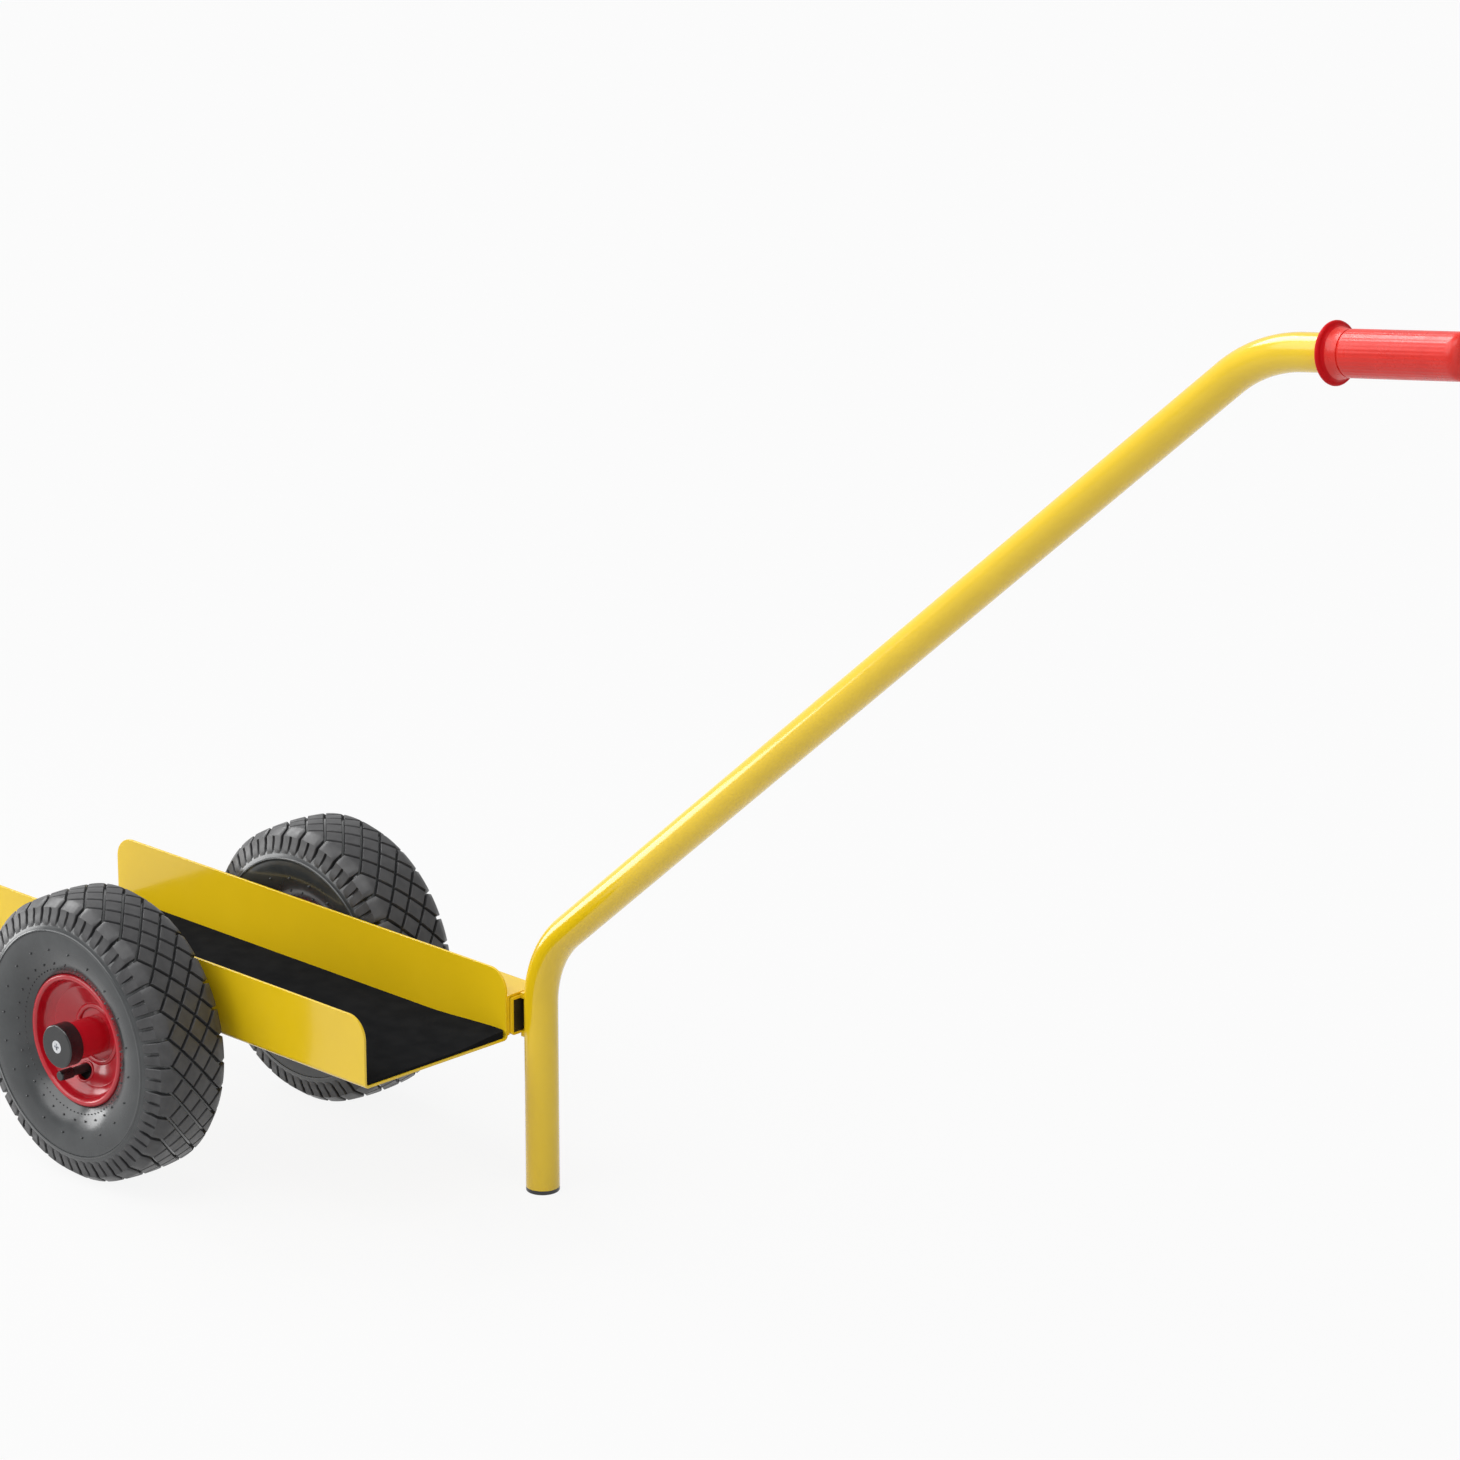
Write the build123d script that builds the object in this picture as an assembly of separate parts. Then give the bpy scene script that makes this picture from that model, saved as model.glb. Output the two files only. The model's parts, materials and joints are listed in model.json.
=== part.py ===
from build123d import *
import os
from math import atan2, cos, degrees, pi, radians, sin, tan

# Panel dolly: a folded tray on one axle with two pneumatic wheels, and a bent tube handle
# whose tongue slides into a sleeve on the tray's side. Millimetres, +Z up, +X towards the
# hand grip. The origin is on the floor, under the middle of the dolly's length and width.

# Tray
tray_length = 524.0
tray_width = 168.0
tray_wall_height = 64.0
tray_sheet = 2.5
tray_bend_radius = 2.0
tray_corner_radius = 20.0
tray_rear_reach = 236.0

# Anti-slip mat on the tray floor
mat_thickness = 3.0
mat_end_margin = 1.0
mat_side_margin = 0.3
mat_corner_radius = 4.0

# Tyre
tyre_diameter = 260.0
tyre_width = 85.0
tyre_wall = 5.0
tyre_crown_thickness = 9.0
tread_width = 55.0
tread_crown_drop = 1.6
shoulder_drop = 11.0
shoulder_inset = 6.0
tyre_to_tray_gap = 8.8
tyre_to_rim_gap = 0.3
tread_pitches = 32
tread_rows = 5
groove_width = 2.6
groove_depth = 4.2
slot_width = 3.4
lug_drop = 24.5
right_tread_turn = 1.6
left_tread_turn = 10.85
tube_wall = 1.5
tube_gap = 0.4

# Rim
bead_seat_diameter = 101.6
rim_lip_diameter = 120.8
rim_width = 61.2
rim_sheet = 2.2
rim_lip_roll = 6.0
rim_bend_radius = 3.0
rim_well_depth = 6.8
rim_well_half_width = 4.0
rim_well_slope = 5.0

# Wheel discs
disc_sheet = 2.0
disc_edge_offset = 17.6
disc_inner_offset = 6.5
disc_recess_offset = 5.0
disc_recess_width = 8.5
disc_flange = 5.0
disc_bend_radius = 2.5
weld_gap = 0.05

# Hub, bearings and axle
hub_length = 73.0
hub_wall = 3.0
axle_diameter = 20.0
roller_diameter = 4.0
roller_length = 16.0
roller_count = 10
roller_clearance = 0.05
cage_length = 22.0
cage_clearance = 0.4
bearing_inset = 3.0
wheel_end_play = 0.3
collar_length = 6.0
collar_wall = 5.0
collar_gap = 0.05
saddle_thickness = 8.0
saddle_top_width = 60.0
saddle_foot_width = 36.0
saddle_under_axle = 6.0
saddle_spacing = 110.0

# Hub caps and their screws
cap_diameter = 39.0
cap_thickness = 14.5
cap_edge_radius = 1.5
screw_diameter = 6.0
screw_length = 36.0
screw_head_diameter = 11.6
screw_clearance = 0.05
screw_hole_spare = 2.0
recess_width = 1.8
recess_span = 6.4
recess_depth = 2.2

# Tyre valve
valve_angle = -71.0
valve_inset = 8.5
valve_diameter = 7.6
valve_bend_radius = 6.0
valve_reach = 38.0
valve_hole_diameter = 15.0
valve_hole_outset = 2.4
valve_hole_turn = 3.4
valve_port_clearance = 0.4
valve_cap_diameter = 9.6
valve_cap_length = 14.0
valve_cap_floor = 2.0
valve_cap_clearance = 0.1

# Handle tube
handle_diameter = 30.0
handle_wall = 2.0
leg_bend_lift = 40.4
leg_bend_radius = 100.0
handle_angle = 40.8
handle_rise = 677.9
hand_bend_radius = 140.0
hand_angle = 8.7
foot_head = 4.0
foot_edge_radius = 1.0
foot_stem_length = 20.0
plug_clearance = 0.1

# Hand grip
grip_start = 69.2
grip_length = 126.0
grip_wall = 3.2
grip_flange_height = 6.2
grip_flange_thickness = 4.0
grip_flare_length = 13.0
grip_end_wall = 4.0
grip_end_radius = 8.0
grip_clearance = 0.1

# Tongue behind the leg and the sleeve that takes it
tongue_size = 35.0
tongue_wall = 2.5
tongue_inner_corner = 0.5
tongue_proud = 2.5
tongue_clearance = 0.5
tongue_tyre_gap = 16.0
sleeve_sheet = 2.0
sleeve_inner_corner = 1.0
sleeve_lift = 1.2
sleeve_setback = 10.0
plug_face = 2.5
plug_depth = 14.0
plug_wall = 2.0
plug_fit = 0.05
leg_weld_gap = 3.6
leg_weld_width = 14.0
leg_weld_rise = 3.0

# Clamp bolt under the sleeve
clamp_bolt_diameter = 8.0
clamp_bolt_length = 16.0
clamp_head_width = 13.0
clamp_head_height = 5.3
clamp_nut_height = 6.5
clamp_hole_clearance = 0.5
clamp_thread_gap = 0.05
clamp_tip_gap = 0.1

# Places that follow from the sizes above, with the axle line at x = 0 until the last shift
axle_radius = axle_diameter / 2
axle_z = tyre_diameter / 2
tray_bottom_z = axle_z + axle_radius
tray_floor_z = tray_bottom_z + tray_sheet
tray_top_z = tray_bottom_z + tray_wall_height
tray_half_width = tray_width / 2
tray_front_x = tray_length - tray_rear_reach
tyre_half_width = tyre_width / 2
wheel_y = tray_half_width + tyre_to_tray_gap + tyre_half_width
hub_half = hub_length / 2
hub_bore_radius = axle_radius + roller_diameter
hub_radius = hub_bore_radius + hub_wall
axle_end = hub_half + wheel_end_play

sleeve_bottom_z = tray_bottom_z + sleeve_lift
sleeve_inside = tongue_size + 2 * tongue_clearance
sleeve_size = sleeve_inside + 2 * sleeve_sheet
tongue_bottom_z = sleeve_bottom_z + sleeve_sheet + tongue_clearance
tongue_mid_y = tray_half_width + sleeve_size / 2
tongue_mid_z = sleeve_bottom_z + sleeve_size / 2
tongue_front_x = tray_front_x + tongue_proud
tongue_rear_x = tyre_diameter / 2 + tongue_tyre_gap
sleeve_rear_x = tongue_rear_x + tongue_proud

handle_radius = handle_diameter / 2
handle_bore_radius = handle_radius - handle_wall
leg_x = tongue_front_x + leg_weld_gap + handle_radius
leg_bend_z = tongue_bottom_z + tongue_size + leg_bend_lift
leg_y = tongue_mid_y
hand_bend_x = leg_x + handle_rise / tan(radians(handle_angle))
hand_bend_z = leg_bend_z + handle_rise
grip_radius = handle_radius + grip_wall
grip_stop = grip_start + grip_length
hand_cos = cos(radians(hand_angle))
hand_sin = sin(radians(hand_angle))
tube_end = grip_stop - grip_end_wall

# The rounded end of the grip is the front of the dolly, and the tray's end is its back
grip_tip_x = (
    hand_bend_x
    + (grip_stop - grip_end_radius) * hand_cos
    + (grip_radius - grip_end_radius) * hand_sin
    + grip_end_radius
)
axle_x = -(grip_tip_x - tray_rear_reach) / 2


def spun(profile):
    """Turn a profile, drawn as (radius, distance along the axle), about the axle line."""
    return revolve(profile, axis=Axis.Y)


def both_sides(half_profile):
    """Add the mirror image of half a wheel profile across the wheel's middle plane."""
    return half_profile + mirror(half_profile, about=Plane.XZ)


def strip(points, radius, thickness, side):
    """Section of a folded sheet: a line with rounded corners, thickened to one side."""
    line = FilletPolyline(*points, radius=radius)
    return make_face(offset(line, thickness, side=side, closed=True).edges())


def ring(outer_radius, inner_radius, start, stop):
    """Plain ring about the axle line between two distances along it."""
    return spun(Pos((outer_radius + inner_radius) / 2, (start + stop) / 2) * Rectangle(
        outer_radius - inner_radius, stop - start
    ))


# Tray and mat
def make_tray():
    outline = [
        (-tray_half_width, tray_top_z),
        (-tray_half_width, tray_bottom_z),
        (tray_half_width, tray_bottom_z),
        (tray_half_width, tray_top_z),
    ]
    section = strip(outline, tray_bend_radius + tray_sheet, tray_sheet, Side.LEFT)
    section_plane = Plane((-tray_rear_reach, 0, 0), x_dir=(0, 1, 0), z_dir=(1, 0, 0))
    tray = extrude(section_plane * section, tray_length)
    corners = tray.edges().filter_by(Axis.Y).group_by(Axis.Z)[-1]
    return fillet(corners, tray_corner_radius)


def make_mat():
    length = tray_length - 2 * mat_end_margin
    width = tray_width - 2 * (tray_sheet + mat_side_margin)
    middle_x = (tray_front_x - tray_rear_reach) / 2
    outline = Pos(middle_x, 0, tray_floor_z) * RectangleRounded(length, width, mat_corner_radius)
    # The mat reaches the walls, so its long lower edges are bevelled to clear the tray's bends
    section = Polyline(
        (-width / 2, mat_thickness),
        (-width / 2, tray_bend_radius),
        (tray_bend_radius - width / 2, 0),
        (width / 2 - tray_bend_radius, 0),
        (width / 2, tray_bend_radius),
        (width / 2, mat_thickness),
        close=True,
    )
    section_plane = Plane((-tray_rear_reach, 0, tray_floor_z), x_dir=(0, 1, 0), z_dir=(1, 0, 0))
    bevelled = extrude(section_plane * make_face(section), tray_length)
    return bevelled & extrude(outline, mat_thickness)


# Axle and what holds it under the tray
def make_axle():
    axle = ring(axle_radius, 0, -wheel_y - axle_end, wheel_y + axle_end)
    hole_depth = screw_length - cap_thickness + screw_hole_spare
    hole = ring(screw_diameter / 2 + screw_clearance, 0, 0, hole_depth)
    for side in (-1, 1):
        end = side * (wheel_y + axle_end)
        axle -= Pos(0, min(end, end - side * hole_depth), 0) * hole
    return Pos(0, 0, axle_z) * axle


def make_saddle(side):
    foot_z = axle_z - axle_radius - saddle_under_axle
    outline = Polyline(
        (-saddle_top_width / 2, tray_bottom_z),
        (saddle_top_width / 2, tray_bottom_z),
        (saddle_foot_width / 2, foot_z),
        (-saddle_foot_width / 2, foot_z),
        close=True,
    )
    notch_radius = axle_radius + collar_gap
    notch = Pos(0, axle_z) * Circle(notch_radius)
    notch += Pos(0, axle_z + axle_radius) * Rectangle(2 * notch_radius, 2 * axle_radius)
    plate = extrude(Plane.XZ * (make_face(outline) - notch), saddle_thickness / 2, both=True)
    return Pos(0, side * saddle_spacing / 2, 0) * plate


def make_collar(side):
    start = wheel_y - hub_half - wheel_end_play - collar_length
    bore = axle_radius + collar_gap
    collar = ring(axle_radius + collar_wall, bore, 0, collar_length)
    return Pos(0, start if side > 0 else -start - collar_length, axle_z) * collar


# Hub caps, drawn for the left wheel with the axle end face at distance zero
def make_hub_cap():
    cap = ring(cap_diameter / 2, 0, 0, cap_thickness)
    cap = fillet(cap.edges().group_by(Axis.Y)[-1], cap_edge_radius)
    return cap - spun(screw_profile(screw_clearance))


def screw_profile(grow):
    """Half section of the countersunk screw, or of its hole when it grows."""
    head = screw_head_diameter / 2 + grow
    shank = screw_diameter / 2 + grow
    outline = Polyline(
        (0, cap_thickness),
        (head, cap_thickness),
        (shank, cap_thickness - (head - shank)),
        (shank, cap_thickness - screw_length),
        (0, cap_thickness - screw_length),
        close=True,
    )
    return make_face(outline)


def make_cap_screw():
    slot = Box(recess_span, 2 * recess_depth, recess_width)
    cross = slot + Rot(0, 90, 0) * slot
    return spun(screw_profile(0)) - Pos(0, cap_thickness, 0) * cross


# Wheel pieces, drawn about the origin with the outer side of the wheel towards +Y
bead_radius = bead_seat_diameter / 2
lip_radius = rim_lip_diameter / 2
rim_half = rim_width / 2
roll_radius = rim_lip_roll / 2
flange_face = rim_half - rim_lip_roll
well_radius = bead_radius - rim_well_depth
valve_radius = well_radius - valve_inset
recess_radius = hub_radius + disc_recess_width
seat_start = rim_well_half_width + rim_well_slope
crown_radius = tyre_diameter / 2
bulge_radius = (lip_radius + crown_radius) / 2
heel = rim_bend_radius + rim_sheet


def casing_line(inset):
    """Inside of the casing, from the crown down to the bead toe, drawn in by an inset."""
    crown = (crown_radius - tyre_crown_thickness - inset, 0)
    shoulder = (
        crown_radius - shoulder_drop - tyre_wall - inset,
        tyre_half_width - shoulder_inset - tyre_wall - inset,
    )
    bulge = (bulge_radius, tyre_half_width - tyre_wall - inset)
    neck = (lip_radius + tyre_wall + inset, flange_face - tyre_to_rim_gap - inset)
    toe = (bead_radius + tyre_to_rim_gap + inset, seat_start + tyre_wall - inset)
    return [
        ThreePointArc(crown, bent_towards(crown, shoulder, tyre_wall), shoulder),
        ThreePointArc(shoulder, bulge, neck),
        Line(neck, toe),
    ]


def bent_towards(start, end, rise):
    """Middle of the chord from start to end, pushed out from the axle by a rise."""
    return ((start[0] + end[0] + rise) / 2, (start[1] + end[1] + rise) / 2)


def make_tyre():
    tread_edge = (crown_radius - tread_crown_drop, tread_width / 2)
    shoulder = (crown_radius - shoulder_drop, tyre_half_width - shoulder_inset)
    bulge = (bulge_radius, tyre_half_width)
    neck = (lip_radius + tyre_wall / 2, rim_half + tyre_to_rim_gap)
    bead_side = flange_face - tyre_to_rim_gap
    over_lip = (lip_radius + tyre_to_rim_gap, rim_half - roll_radius)
    beside_lip = (lip_radius + tyre_to_rim_gap, bead_side)
    bead_base = bead_radius + tyre_to_rim_gap
    outside = [
        ThreePointArc(tread_edge, bent_towards(tread_edge, shoulder, shoulder_drop / 3), shoulder),
        ThreePointArc(shoulder, bulge, neck),
        Polyline(
            neck,
            over_lip,
            beside_lip,
            (bead_base + heel, bead_side),
            (bead_base, bead_side - heel),
            (bead_base, seat_start + tyre_wall),
        ),
    ]
    half = [edge for line in outside + casing_line(0) for edge in line.edges()]
    other_half = [mirror(edge, about=Plane.XZ) for edge in half]
    crown_arc = ThreePointArc(tread_edge, (crown_radius, 0), (tread_edge[0], -tread_edge[1]))
    tyre = spun(make_face([crown_arc.edge()] + half + other_half))
    channel = make_channel()
    turns = [360 * number / tread_pitches for number in range(tread_pitches)]
    return tyre - [Rot(0, -turn, 0) * channel for turn in turns]


def make_channel():
    """Cutter for one tread groove: slanting across the tread, then a slot down each shoulder."""
    half_pitch = pi * crown_radius / tread_pitches
    edge = tread_width / 2 + groove_width / 2
    layer = ring(crown_radius + groove_depth, crown_radius - groove_depth, -edge, edge)
    slab = Box(4 * groove_depth, 2 * (tread_width + half_pitch * tread_rows), groove_width)
    slant = degrees(atan2(half_pitch * tread_rows, tread_width))
    groove = Pos(crown_radius, 0, 0) * Rot(slant, 0, 0) * slab & layer
    slot_turn = 180 / tread_pitches * tread_rows / 2
    slot = Rot(0, -slot_turn, 0) * make_slot()
    return groove + slot + Rot(0, slot_turn, 0) * mirror(make_slot(), about=Plane.XZ)


def make_slot():
    """Cutter for one slot down the shoulder, at the front of the wheel and towards +Y."""
    outside = crown_radius + groove_depth
    beside = tyre_half_width + groove_depth
    start = (tread_width - slot_width) / 2
    lug_end = crown_radius - lug_drop
    shoulder_floor = crown_radius - shoulder_drop - groove_depth / 2
    outline = Polyline(
        (outside, start),
        (crown_radius - groove_depth, start),
        (shoulder_floor, tyre_half_width - shoulder_inset - groove_depth * 0.8),
        (lug_end, tyre_half_width),
        (lug_end, beside),
        (outside, beside),
        close=True,
    )
    return extrude(make_face(outline), slot_width / 2, both=True)


def casing_space(inset):
    """Section of the space between casing and rim, drawn in by an inset all round."""
    base = Polyline(
        (bead_radius + tyre_to_rim_gap + inset, seat_start + tyre_wall - inset),
        (bead_radius + inset, seat_start - inset),
        (well_radius + inset, rim_well_half_width - inset),
        (well_radius + inset, 0),
        (crown_radius - tyre_crown_thickness - inset, 0),
    )
    edges = [edge for line in casing_line(inset) + [base] for edge in line.edges()]
    return both_sides(make_face(edges))


def make_inner_tube():
    """Closed rubber tube that fills the casing and rests on the rim's well."""
    return spun(casing_space(tube_gap) - casing_space(tube_gap + tube_wall))


def valve_place():
    """Frame at the valve: its X runs out from the axle through the valve."""
    return Rot(0, -valve_angle, 0)


def make_rim_band():
    half = [
        (well_radius, 0),
        (well_radius, rim_well_half_width),
        (bead_radius, seat_start),
        (bead_radius, flange_face),
        (lip_radius - roll_radius, flange_face),
    ]
    rolled_lip = Pos(lip_radius - roll_radius, rim_half - roll_radius) * Circle(roll_radius)
    half_section = strip(half, rim_bend_radius, rim_sheet, Side.LEFT) + rolled_lip
    band = spun(both_sides(half_section))
    port = valve_place() * Rot(0, 90, 0) * Cylinder(
        valve_diameter / 2 + valve_port_clearance,
        bead_radius,
        align=(Align.CENTER, Align.CENTER, Align.MIN),
    )
    return band - port


def make_disc(with_valve_hole):
    rim_inside = bead_radius - rim_sheet - weld_gap
    line = [
        (hub_radius + weld_gap, disc_recess_offset),
        (recess_radius - disc_bend_radius, disc_recess_offset),
        (recess_radius + disc_bend_radius, disc_inner_offset),
        (rim_inside, disc_edge_offset),
        (rim_inside, disc_edge_offset - disc_flange),
    ]
    disc = spun(strip(line, disc_bend_radius, disc_sheet, Side.RIGHT))
    if with_valve_hole:
        hole = Rot(-90, 0, 0) * Cylinder(
            valve_hole_diameter / 2, rim_half, align=(Align.CENTER, Align.CENTER, Align.MIN)
        )
        place = Rot(0, valve_hole_turn, 0) * valve_place()
        disc -= place * Pos(valve_radius + valve_hole_outset, 0, 0) * hole
    return disc


def make_hub_tube():
    return ring(hub_radius, hub_bore_radius, -hub_half, hub_half)


bearing_middles = [
    side * (hub_half - bearing_inset - cage_length / 2) for side in (-1, 1)
]


def roller_places(middle):
    pitch_radius = axle_radius + roller_diameter / 2
    for number in range(roller_count):
        yield Rot(0, 360 * number / roller_count, 0) * Pos(pitch_radius, middle, 0)


def make_rollers():
    roller = Rot(90, 0, 0) * Cylinder(roller_diameter / 2 - roller_clearance, roller_length)
    return [place * roller for middle in bearing_middles for place in roller_places(middle)]


def make_cages():
    pocket = Rot(90, 0, 0) * Cylinder(
        roller_diameter / 2 + roller_clearance, roller_length + 2 * roller_clearance
    )
    cages = []
    for middle in bearing_middles:
        cage = ring(
            hub_bore_radius - roller_clearance,
            axle_radius + cage_clearance,
            middle - cage_length / 2,
            middle + cage_length / 2,
        )
        for place in roller_places(middle):
            cage -= place * pocket
        cages.append(cage)
    return cages


def make_valve_stem():
    """Stem from the tube through the rim's well, bent to come out beside the hub."""
    base = well_radius + tube_gap / 2
    path = FilletPolyline(
        (base, 0, 0),
        (valve_radius, 0, 0),
        (valve_radius, valve_reach, 0),
        radius=valve_bend_radius,
    )
    start = Plane(origin=path @ 0, z_dir=path % 0)
    return valve_place() * sweep(start * Circle(valve_diameter / 2), path=path)


def make_valve_cap():
    cap_start = valve_reach + valve_cap_clearance + valve_cap_floor - valve_cap_length
    cap = ring(valve_cap_diameter / 2, 0, cap_start, cap_start + valve_cap_length)
    cap = chamfer(cap.edges().group_by(Axis.Y)[-1], valve_cap_floor / 2)
    bore = valve_diameter / 2 + valve_cap_clearance
    cap -= ring(bore, 0, cap_start, valve_reach + valve_cap_clearance)
    return valve_place() * Pos(valve_radius, 0, 0) * cap


# Handle
def handle_path():
    return FilletPolyline(
        (leg_x, leg_y, foot_head),
        (leg_x, leg_y, leg_bend_z),
        (hand_bend_x, leg_y, hand_bend_z),
        (hand_bend_x + tube_end * hand_cos, leg_y, hand_bend_z + tube_end * hand_sin),
        radius=[leg_bend_radius, hand_bend_radius],
    )


def make_handle_tube():
    path = handle_path()
    start = Plane(origin=path @ 0, z_dir=path % 0)
    section = Circle(handle_radius) - Circle(handle_bore_radius)
    return sweep(start * section, path=path)


def make_grip():
    """Sleeve with a flared flange, drawn along +X from the flange and laid on the tube."""
    flange = grip_radius + grip_flange_height
    flare = grip_flange_thickness + grip_flare_length
    flare_middle = (
        grip_flange_thickness + grip_flare_length / 4,
        grip_radius + (flange - grip_radius) / 4,
    )
    outside = [
        Polyline((0, 0), (0, flange), (grip_flange_thickness, flange)),
        ThreePointArc((grip_flange_thickness, flange), flare_middle, (flare, grip_radius)),
        Line((flare, grip_radius), (grip_length - grip_end_radius, grip_radius)),
        RadiusArc(
            (grip_length - grip_end_radius, grip_radius),
            (grip_length, grip_radius - grip_end_radius),
            grip_end_radius,
        ),
        Polyline((grip_length, grip_radius - grip_end_radius), (grip_length, 0), (0, 0)),
    ]
    sleeve = revolve(make_face([e for line in outside for e in line.edges()]), axis=Axis.X)
    bore_length = grip_length - grip_end_wall + grip_clearance
    bore = Rot(0, 90, 0) * Cylinder(
        handle_radius + grip_clearance,
        bore_length,
        align=(Align.CENTER, Align.CENTER, Align.MIN),
    )
    place = Pos(hand_bend_x, leg_y, hand_bend_z) * Rot(0, -hand_angle, 0) * Pos(grip_start, 0, 0)
    return place * (sleeve - bore)


def make_foot_cap():
    standing = (Align.CENTER, Align.CENTER, Align.MIN)
    head = Cylinder(handle_radius, foot_head, align=standing)
    head = fillet(head.edges().group_by(Axis.Z)[0], foot_edge_radius)
    stem = Cylinder(handle_bore_radius - plug_clearance, foot_stem_length, align=standing)
    return Pos(leg_x, leg_y, 0) * (head + Pos(0, 0, foot_head) * stem)


def facing_x(x):
    """Plane across the tongue at a given x, its own X along +Y and its Y along +Z."""
    return Plane((x, tongue_mid_y, tongue_mid_z), x_dir=(0, 1, 0), z_dir=(1, 0, 0))


def square_tube(outer, inner, wall_corner, start_x, stop_x):
    """Square tube along X on the tongue's middle line, between two places."""
    outer_corner = wall_corner + (outer - inner) / 2
    section = RectangleRounded(outer, outer, outer_corner)
    section -= RectangleRounded(inner, inner, wall_corner)
    return extrude(facing_x(start_x) * section, stop_x - start_x)


def make_tongue():
    inner = tongue_size - 2 * tongue_wall
    return square_tube(tongue_size, inner, tongue_inner_corner, tongue_rear_x, tongue_front_x)


def make_tongue_plug(end_x, outward):
    """Plug pressed flush into one end of the tongue, hollow behind its face."""
    size = tongue_size - 2 * tongue_wall - 2 * plug_fit
    hollow_size = size - 2 * plug_wall
    plug = extrude(facing_x(0) * RectangleRounded(size, size, tongue_inner_corner), -plug_depth)
    plug -= extrude(facing_x(-plug_face) * Rectangle(hollow_size, hollow_size), -plug_depth)
    if outward < 0:
        plug = mirror(plug, about=Plane.YZ)
    return Pos(end_x, 0, 0) * plug


def make_leg_welds():
    """Beads that join the tongue's top and bottom edges to the round of the leg."""
    leg = Pos(leg_x, leg_y, tongue_mid_z) * Cylinder(handle_radius, 4 * tongue_size)
    height = tongue_wall + leg_weld_rise
    bead = Box(
        leg_x - tongue_front_x,
        leg_weld_width,
        height,
        align=(Align.MIN, Align.CENTER, Align.CENTER),
    )
    beads = []
    for side in (-1, 1):
        middle_z = tongue_mid_z + side * (tongue_size / 2 - tongue_wall + height / 2)
        beads.append(Pos(tongue_front_x, tongue_mid_y, middle_z) * bead - leg)
    return beads


# Sleeve on the tray's side, and the clamp bolt that holds the tongue in it
def make_sleeve():
    """Square sleeve, its lower side cut back at the front to clear the leg's weld."""
    sleeve = square_tube(
        sleeve_size, sleeve_inside, sleeve_inner_corner, sleeve_rear_x, tray_front_x
    )
    lower_side = Box(
        sleeve_setback,
        2 * sleeve_size,
        sleeve_sheet + sleeve_inner_corner,
        align=(Align.MAX, Align.CENTER, Align.MIN),
    )
    hole = Cylinder((clamp_bolt_diameter + clamp_hole_clearance) / 2, 4 * sleeve_sheet)
    sleeve -= Pos(tray_front_x, tongue_mid_y, sleeve_bottom_z) * lower_side
    return sleeve - clamp_place(sleeve_bottom_z) * hole


def clamp_place(z):
    """Place on the clamp bolt's line, halfway along the sleeve."""
    return Pos((sleeve_rear_x + tray_front_x) / 2, tongue_mid_y, z)


def hexagon(width):
    return RegularPolygon(width / 2, 6, major_radius=False)


def make_clamp_nut():
    thread = Circle(clamp_bolt_diameter / 2 + clamp_thread_gap)
    return clamp_place(sleeve_bottom_z) * extrude(hexagon(clamp_head_width) - thread, -clamp_nut_height)


def make_clamp_bolt():
    shank = extrude(Circle(clamp_bolt_diameter / 2), -clamp_bolt_length)
    head = Pos(0, 0, -clamp_bolt_length) * extrude(hexagon(clamp_head_width), -clamp_head_height)
    return clamp_place(tongue_bottom_z - clamp_tip_gap) * (shank + head)


# Every node by name, each a list of separate solids
nodes = {
    "tray": [make_tray()],
    "anti_slip_mat": [make_mat()],
    "axle": [make_axle()],
    "axle_saddles": [make_saddle(side) for side in (-1, 1)],
    "axle_collars": [make_collar(side) for side in (-1, 1)],
    "handle_sleeve": [make_sleeve()],
    "clamp_nut": [make_clamp_nut()],
    "clamp_bolt": [make_clamp_bolt()],
    "handle_tube": [make_handle_tube()],
    "handle_tongue": [make_tongue()],
    "tongue_front_plug": [make_tongue_plug(tongue_front_x, 1)],
    "tongue_rear_plug": [make_tongue_plug(tongue_rear_x, -1)],
    "leg_welds": make_leg_welds(),
    "foot_cap": [make_foot_cap()],
    "hand_grip": [make_grip()],
}

wheel_pieces = {
    "inner_tube": [make_inner_tube()],
    "rim_band": [make_rim_band()],
    "outer_disc": [make_disc(True)],
    "inner_disc": [mirror(make_disc(False), about=Plane.XZ)],
    "hub_tube": [make_hub_tube()],
    "bearing_cages": make_cages(),
    "bearing_rollers": make_rollers(),
    "valve_stem": [make_valve_stem()],
    "valve_cap": [make_valve_cap()],
}
end_pieces = {"hub_cap": [make_hub_cap()], "cap_screw": [make_cap_screw()]}

# The left wheel is on the handle side, and the right one is the same wheel turned half round
tyre = make_tyre()
for wheel, turn, tread_turn in (("right", 180, right_tread_turn), ("left", 0, left_tread_turn)):
    side = Pos(0, 0, axle_z) * Rot(0, 0, turn)
    wheel_place = side * Pos(0, wheel_y, 0)
    for name, solids in wheel_pieces.items():
        nodes[f"{wheel}_{name}"] = [wheel_place * solid for solid in solids]
    nodes[f"{wheel}_tyre"] = [wheel_place * Rot(0, -tread_turn, 0) * tyre]
    for name, solids in end_pieces.items():
        place = side * Pos(0, wheel_y + axle_end, 0)
        nodes[f"{wheel}_{name}"] = [place * solid for solid in solids]

os.makedirs("parts", exist_ok=True)
for name, solids in nodes.items():
    placed = [Pos(axle_x, 0, 0) * solid for solid in solids]
    shape = placed[0] if len(placed) == 1 else Compound(children=placed)
    export_step(shape, f"parts/{name}.step")
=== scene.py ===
import json
from math import cos, pi, radians, sin, tan

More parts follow.
